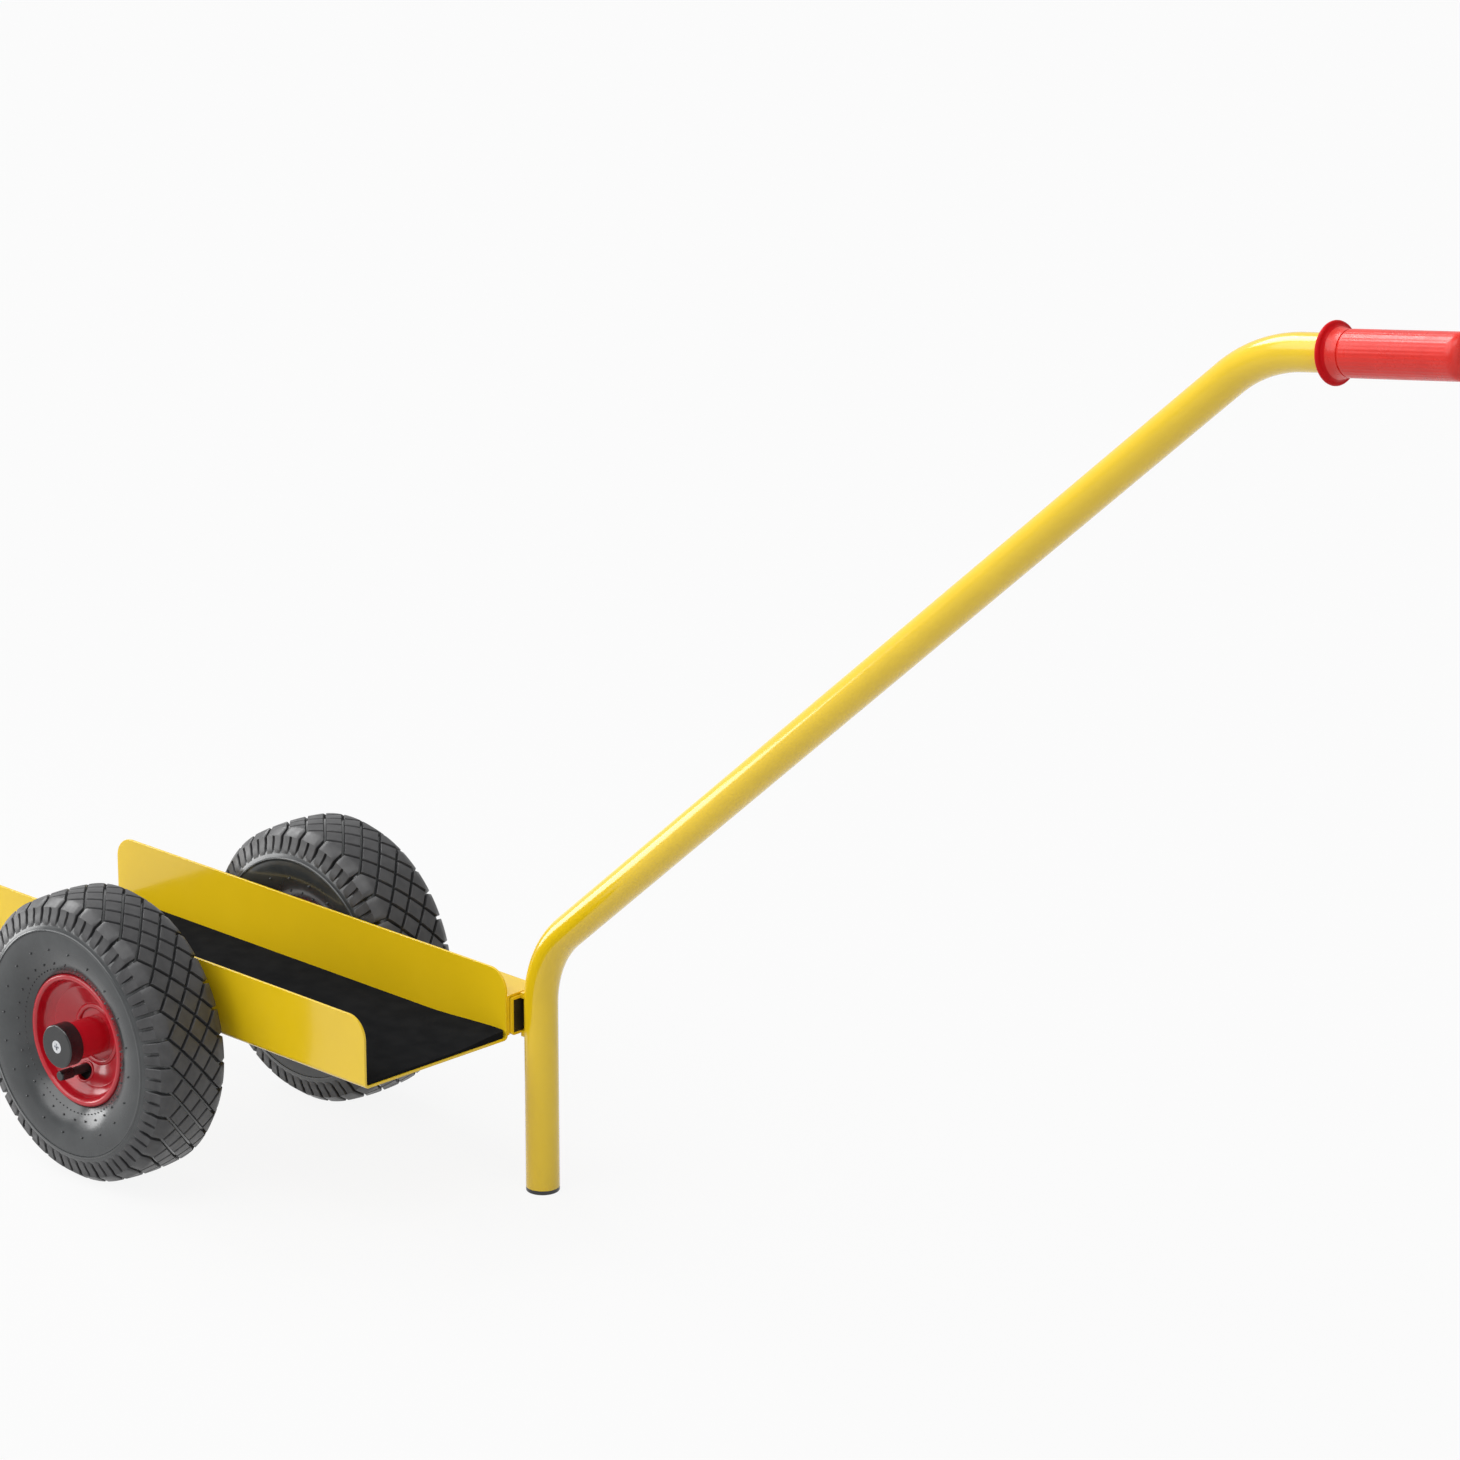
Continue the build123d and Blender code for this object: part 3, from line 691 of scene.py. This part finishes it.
def tyre_casing(material):
    """Casing as one closed shell, with the raised ring on both sidewalls."""
    ring_places = [ring_along + ring_half_width * share for share in ring_shares]
    places = np.sort(np.concatenate([profile_length[::casing_outside_stride], ring_places]))
    from_ring = np.abs(places - ring_along)
    lift = np.where(from_ring <= ring_top_share * ring_half_width, ring_height, 0.0)
    lift = np.where(np.abs(from_ring - ring_half_width) < same_place, ring_edge_height, lift)
    outside = on_tyre(0.0, places, lift - casing_depth(places))[:, :2]
    inside_edge = (lip_radius + tyre_wall / 2, lip_half_width - tyre_wall)
    inside = [
        (radius - tyre_wall, max(offset - tyre_wall, 0))
        for radius, offset in profile[::casing_inside_stride] if radius > casing_inside_radius
    ]
    half = [tuple(point) for point in outside] + [inside_edge] + inside[::-1]
    mirrored = [(radius, -offset) for radius, offset in half[::-1]]
    return (*turned(half[:-1] + mirrored[1:], tyre_steps), material)


def diamond_block(turn, along, material):
    """Raised block between four crossing grooves, centred on an angle and a row."""
    keep = 1 - groove_width / 2 / tread_reach
    rim = block_bevel / tread_reach / 2
    steps = np.array([0, rim, *block_inner_shares, 1 - rim, 1])
    u, v = np.meshgrid(steps, steps, indexing="ij")
    border = (u == 0) | (u == 1) | (v == 0) | (v == 1)

    def layer(scale, height):
        angle = turn + (u - v) * tread_half_turn * scale
        place = along + (u + v - 1) * tread_row * scale
        return on_tyre(angle, place, height)

    top = layer(keep, np.where(border, -block_bevel, 0.0))
    bottom = layer(keep + groove_draft / tread_reach, -groove_depth - block_root)
    return (*closed_block(top, bottom), material)


def shoulder_lug(turn, side, material):
    """Long lug from the outer row of blocks down the shoulder, split by a sipe."""
    tip = outer_row * tread_row + groove_width / 2 / tread_reach * tread_row
    wide = tread_half_pitch - slot_width / 2
    full = tip + wide / tread_half_pitch * tread_row
    rows = [tip, tip + lug_tip_bevel, (tip + full) / 2, full, sipe_start, sipe_start + sipe_entry]
    rows += list(np.linspace(sipe_start, lug_end, lug_rows)[2:-1])
    rows += [lug_end - lug_end_bevel, lug_end]
    place, share = np.meshgrid(np.array(rows), np.array(lug_columns), indexing="ij")
    width = np.minimum((place - tip) / tread_row * tread_half_pitch, wide)
    width = np.maximum(width, block_bevel)
    border = (np.abs(share) == 1) | (place == tip) | (place == lug_end)
    in_sipe = (np.abs(share) < sipe_half_share) & (place > sipe_start + sipe_entry / 2)
    fade = smooth_step(place, lug_fade, lug_end)
    height = -fade * groove_depth * lug_end_sink - np.where(border, block_bevel, 0)
    height = height - np.where(in_sipe, sipe_depth, 0) * (1 - fade)
    height = np.maximum(height, -casing_depth(place) - sipe_floor_sink)
    angle = turn + share * width / tyre_radius
    foot = turn + share * (width + groove_draft) / tyre_radius
    top = on_tyre(angle, side * place, height)
    bottom = on_tyre(foot, side * place, -casing_depth(place) - block_root)
    if side < 0:
        top, bottom = top[:, ::-1], bottom[:, ::-1]
    return (*closed_block(top, bottom), material)


def moulding_nub(turn, along, nub_radius, material):
    """Small round nub left on the sidewall by the mould."""
    angles = np.arange(nub_sides) * 2 * pi / nub_sides
    radius = np.interp(abs(along), profile_length, profile[:, 0])
    levels = [(nub_radius, -nub_root)]
    levels += [(nub_radius * wide, nub_radius * high) for wide, high in nub_levels]
    points = []
    for shift, height in levels:
        around = turn + shift * np.cos(angles) / radius
        points.extend(on_tyre(around, along + shift * np.sin(angles), height))
    top = len(nub_levels) * nub_sides
    faces = [[*range(top, top + nub_sides)]]
    for low in range(0, top, nub_sides):
        for i in range(nub_sides):
            j = (i + 1) % nub_sides
            faces.append([low + i, low + j, low + nub_sides + j, low + nub_sides + i])
    faces.append([*range(nub_sides)][::-1])
    return points, faces, material


def tyre_piece(wheel, tread_rubber, wall_rubber):
    """Tyre with its tread, in place of the plain solid."""
    parts = [tyre_casing(wall_rubber)]
    for number in range(tread_pitches):
        turn = tread_phase[wheel] + 2 * tread_half_turn * number
        for row, half_pitches in block_rows:
            block_turn = turn + half_pitches * tread_half_turn
            parts.append(diamond_block(block_turn, row * tread_row, tread_rubber))
        parts.append(shoulder_lug(turn, 1, tread_rubber))
        parts.append(shoulder_lug(turn + tread_half_turn, -1, tread_rubber))
    for side in (-1, 1):
        for radius, count, size in nub_circles:
            for number in range(count):
                turn = 2 * pi * (number + nub_first_share) / count
                parts.append(moulding_nub(turn, side * along_at_radius(radius), size, wall_rubber))
    tyre = mesh_piece(f"{wheel}_tyre_with_tread", parts)
    tyre.location = wheel_centres[wheel]
    if wheel == "right_wheel":
        tyre.rotation_euler.z = pi
    place_piece(tyre, wheel.replace("wheel", "tyre"))


# Rim and valve
def stand_on_wheel(piece, wheel, place, axis):
    """Set a piece that is turned about Y on a wheel, drawn with its outer side towards +Y."""
    if wheel == "right_wheel":
        place = Vector((-place.x, -place.y, place.z))
        axis = Vector((-axis.x, -axis.y, axis.z))
    piece.rotation_mode = "QUATERNION"
    piece.rotation_quaternion = outward.rotation_difference(axis)
    piece.location = wheel_centres[wheel] + place


def rim_piece(wheel, paint):
    """Rim with a rolled lip on both sides, in place of the plain band."""
    half = list(rim_outside)
    for step in range(lip_roll_steps + 1):
        turn = radians(lip_roll_start + lip_roll_turn * step / lip_roll_steps)
        half.append((
            lip_radius - lip_roll_radius + lip_roll_radius * cos(turn),
            lip_half_width - lip_roll_radius + lip_roll_radius * sin(turn),
        ))
    for step in range(rim_fillet_steps + 1):
        turn = rim_fillet_turn * step / rim_fillet_steps
        half.append((
            rim_wall_radius - rim_fillet_radius * (1 - cos(turn)),
            rim_wall_end - rim_fillet_radius * sin(turn),
        ))
    half += rim_inside
    mirrored = [(radius, -offset) for radius, offset in half[::-1]]
    shell = turned(half + mirrored[1:-1], rim_steps)
    rim = mesh_piece(f"{wheel}_rim_rolled", [(*shell, paint)])
    rim.location = wheel_centres[wheel]
    place_piece(rim, wheel.replace("wheel", "rim_band"))


def hub_ring_piece(wheel, paint):
    """Raised ring that is pressed into the disc round the hub."""
    root = hub_ring_offset - hub_ring_root
    outline = [(hub_ring_radius + side * hub_ring_half_width, root) for side in (-1, 1)]
    for step in range(hub_ring_points + 1):
        turn = pi * step / hub_ring_points
        outline.append((
            hub_ring_radius + hub_ring_half_width * cos(turn),
            hub_ring_offset + hub_ring_height * sin(turn),
        ))
    ring = mesh_piece(f"{wheel}_hub_ring", [(*turned(outline, hub_ring_steps), paint)])
    stand_on_wheel(ring, wheel, Vector((0, 0, 0)), outward)
    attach(ring, wheel)


def valve_lip_piece(wheel, paint):
    """Rounded lip that is pressed up round the valve hole."""
    middle = valve_hole_radius + valve_lip_radius * valve_lip_seat
    outline = []
    for step in range(valve_lip_points):
        turn = 2 * pi * step / valve_lip_points
        outline.append((middle + valve_lip_radius * cos(turn), valve_lip_radius * sin(turn)))
    lip = mesh_piece(f"{wheel}_valve_lip", [(*turned(outline, valve_lip_steps), paint)])
    out = Vector((cos(valve_hole_turn), 0, -sin(valve_hole_turn)))
    place = out * valve_hole_place + outward * valve_hole_offset
    stand_on_wheel(lip, wheel, place, (outward - out * disc_slope).normalized())
    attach(lip, wheel)


def valve_cap_piece(wheel, plastic):
    """Dust cap with ribs along it, in place of the plain solid."""
    radius, end = valve_cap_radius, valve_cap_end - valve_cap_start
    inner_end = end - valve_cap_end_wall
    outline = [(radius * share, place, rib) for share, place, rib in valve_cap_foot]
    outline += [(radius * share, end - place, rib) for share, place, rib in valve_cap_head]
    outline += [(valve_cap_middle, end, 0), (valve_cap_middle, inner_end, 0)]
    outline.append((radius * valve_cap_bore_share, inner_end, 0))
    shell = turned_with_ribs(outline, valve_cap_ribs, valve_cap_rib_steps, valve_cap_rib_height)
    cap = mesh_piece(f"{wheel}_valve_cap_ribbed", [(*shell, plastic)])
    out = Vector((cos(valve_turn), 0, -sin(valve_turn)))
    stand_on_wheel(cap, wheel, out * valve_radius + outward * valve_cap_start, outward)
    place_piece(cap, wheel.replace("wheel", "valve_cap"))


# Materials
def new_material(name):
    material = bpy.data.materials.new(name)
    material.use_nodes = True
    tree = material.node_tree
    return material, tree, tree.nodes["Principled BSDF"]


def noise(tree, scale, detail):
    """Noise factor over the object's own coordinates."""
    place = tree.nodes.new("ShaderNodeTexCoord")
    texture = tree.nodes.new("ShaderNodeTexNoise")
    texture.inputs["Scale"].default_value = scale
    texture.inputs["Detail"].default_value = detail
    tree.links.new(place.outputs["Object"], texture.inputs["Vector"])
    return texture.outputs["Fac"]


def ramp(tree, factor, stops, colours):
    """Colour ramp over a factor, with a colour at each of two stops."""
    node = tree.nodes.new("ShaderNodeValToRGB")
    for element, stop, colour in zip(node.color_ramp.elements, stops, colours):
        element.position = stop
        element.color = (*colour, 1.0)
    tree.links.new(factor, node.inputs["Fac"])
    return node.outputs["Color"]


def relief(tree, shader, height, depth):
    """Bump of a given depth on the shader's normal."""
    node = tree.nodes.new("ShaderNodeBump")
    node.inputs["Strength"].default_value = grain_strength
    node.inputs["Distance"].default_value = depth
    tree.links.new(height, node.inputs["Height"])
    tree.links.new(node.outputs["Normal"], shader.inputs["Normal"])


def finish_of(name, tones, mottle, gloss, gloss_scale, grain, grain_depth, values):
    """Material with mottled colour, uneven gloss and a fine grain in its relief."""
    material, tree, shader = new_material(name)
    colour = ramp(tree, noise(tree, mottle, mottle_detail), mottle_stops, tones)
    tree.links.new(colour, shader.inputs["Base Color"])
    greys = [(level, level, level) for level in gloss]
    shine = ramp(tree, noise(tree, gloss_scale, gloss_detail), gloss_stops, greys)
    tree.links.new(shine, shader.inputs["Roughness"])
    relief(tree, shader, noise(tree, grain, grain_detail), grain_depth)
    for socket, value in values.items():
        shader.inputs[socket].default_value = value
    return material


def dress_nodes(finishes):
    """Give every solid its material, by the record's slots."""
    for node_name, slot in slot_of.items():
        mesh = nodes[node_name].data
        mesh.materials.clear()
        mesh.materials.append(finishes[finish_of_slot.get(slot, slot)])


# Floor and surround
def shown_ray(tree):
    """1 for rays that show what they meet, from the camera or by gloss or glass, 0 for the light's."""
    light_path = tree.nodes.new("ShaderNodeLightPath")
    total = light_path.outputs["Is Camera Ray"]
    for name in ("Is Glossy Ray", "Is Transmission Ray"):
        node = tree.nodes.new("ShaderNodeMath")
        node.operation = "MAXIMUM"
        tree.links.new(total, node.inputs[0])
        tree.links.new(light_path.outputs[name], node.inputs[1])
        total = node.outputs[0]
    return total


def white_share(tree):
    """Share of plain white on the floor, by the distance from a line under the object."""
    place = tree.nodes.new("ShaderNodeTexCoord")
    turned_place = tree.nodes.new("ShaderNodeMapping")
    turned_place.inputs["Rotation"].default_value = (0, 0, -camera_azimuth)
    axes = tree.nodes.new("ShaderNodeSeparateXYZ")
    distance = tree.nodes.new("ShaderNodeMath")
    distance.operation = "ABSOLUTE"
    fade = tree.nodes.new("ShaderNodeMapRange")
    fade.interpolation_type = "SMOOTHSTEP"
    fade.inputs["From Min"].default_value = floor_white_half_width
    fade.inputs["From Max"].default_value = floor_white_half_width + floor_fade_width
    fade.inputs["To Min"].default_value = floor_shine
    fade.inputs["To Max"].default_value = 0.0
    tree.links.new(place.outputs["Object"], turned_place.inputs["Vector"])
    tree.links.new(turned_place.outputs["Vector"], axes.inputs["Vector"])
    tree.links.new(axes.outputs["X"], distance.inputs[0])
    tree.links.new(distance.outputs[0], fade.inputs["Value"])
    return fade.outputs["Result"]


def add_floor():
    """Floor that the camera and gloss see part lit and part plain white."""
    turns = [2 * pi * step / floor_sides for step in range(floor_sides)]
    edge = [(floor_radius * cos(turn), floor_radius * sin(turn), 0) for turn in turns]
    material, tree, shader = new_material("floor_white")
    shader.inputs["Base Color"].default_value = (floor_colour, floor_colour, floor_colour, 1)
    shader.inputs["Roughness"].default_value = floor_roughness
    shader.inputs["Specular IOR Level"].default_value = 0.0
    white = tree.nodes.new("ShaderNodeEmission")
    white.inputs["Strength"].default_value = 1.0
    share = tree.nodes.new("ShaderNodeMath")
    share.operation = "MULTIPLY"
    tree.links.new(shown_ray(tree), share.inputs[0])
    tree.links.new(white_share(tree), share.inputs[1])
    both = tree.nodes.new("ShaderNodeMixShader")
    tree.links.new(share.outputs[0], both.inputs["Fac"])
    tree.links.new(shader.outputs["BSDF"], both.inputs[1])
    tree.links.new(white.outputs["Emission"], both.inputs[2])
    tree.links.new(both.outputs["Shader"], tree.nodes["Material Output"].inputs["Surface"])
    floor = mesh_piece("floor", [(edge, [[*range(floor_sides)]], material)])


def add_surround():
    """World that lights the object at one strength and is shown at another."""
    world = bpy.data.worlds.new("surround")
    world.use_nodes = True
    tree = world.node_tree
    background = tree.nodes["Background"]
    background.inputs["Color"].default_value = (1, 1, 1, 1)
    strength = tree.nodes.new("ShaderNodeMapRange")
    strength.inputs["To Min"].default_value = surround_light
    strength.inputs["To Max"].default_value = surround_shown
    tree.links.new(shown_ray(tree), strength.inputs["Value"])
    tree.links.new(strength.outputs["Result"], background.inputs["Strength"])
    bpy.context.scene.world = world


# Lamps and camera
def add_sun(name, direction, strength, spread):
    """Soft light of the same strength everywhere, coming from a direction."""
    light = bpy.data.lights.new(name, "SUN")
    light.energy = strength
    light.angle = radians(spread)
    lamp = bpy.data.objects.new(name, light)
    lamp.rotation_mode = "QUATERNION"
    lamp.rotation_quaternion = Vector(direction).to_track_quat("Z", "Y")
    link(lamp)


def add_panel(name, place, size, power):
    """Upright soft panel that faces +X."""
    light = bpy.data.lights.new(name, "AREA")
    light.shape = "RECTANGLE"
    light.size, light.size_y = size
    light.energy = power
    lamp = bpy.data.objects.new(name, light)
    lamp.location = place
    lamp.rotation_mode = "QUATERNION"
    lamp.rotation_quaternion = Vector((1, 0, 0)).to_track_quat("-Z", "Y")
    lamp.visible_camera = False
    link(lamp)


def add_camera():
    back = Vector((
        sin(camera_azimuth) * cos(camera_elevation),
        -cos(camera_azimuth) * cos(camera_elevation),
        sin(camera_elevation),
    ))
    axle_x = wheel_centres["right_wheel"].x
    target = Vector((axle_x + camera_target_ahead, 0.0, camera_target_height))
    data = bpy.data.cameras.new("camera")
    data.lens = camera_lens
    data.sensor_width = camera_sensor
    camera = bpy.data.objects.new("camera", data)
    camera.location = target + back * camera_distance
    camera.rotation_mode = "QUATERNION"
    camera.rotation_quaternion = (-back).to_track_quat("-Z", "Y")
    link(camera)
    bpy.context.scene.camera = camera


# Pieces
finishes = {name: finish_of(name, *values) for name, values in finish_table.items()}
dress_nodes(finishes)
for wheel in wheel_centres:
    tyre_piece(wheel, finishes["tread_rubber"], finishes["wall_rubber"])
    rim_piece(wheel, finishes["red_paint"])
    hub_ring_piece(wheel, finishes["red_paint"])
    valve_lip_piece(wheel, finishes["red_paint"])
    valve_cap_piece(wheel, finishes["black_plastic"])
handle_tube_piece(finishes["yellow_paint"])
grip_piece(finishes["grip_plastic"], finishes["grip_rim_painted_shade"])
mat_piece(finishes["mat_rubber"])
for node_name, width in soft_edges.items():
    soft_copy(node_name, width)

# Stage
add_floor()
add_surround()
for name, values in suns.items():
    add_sun(name, *values)
add_panel("low_left", panel_place, panel_size, panel_power)
add_camera()
bpy.context.scene.view_settings.view_transform = "Standard"
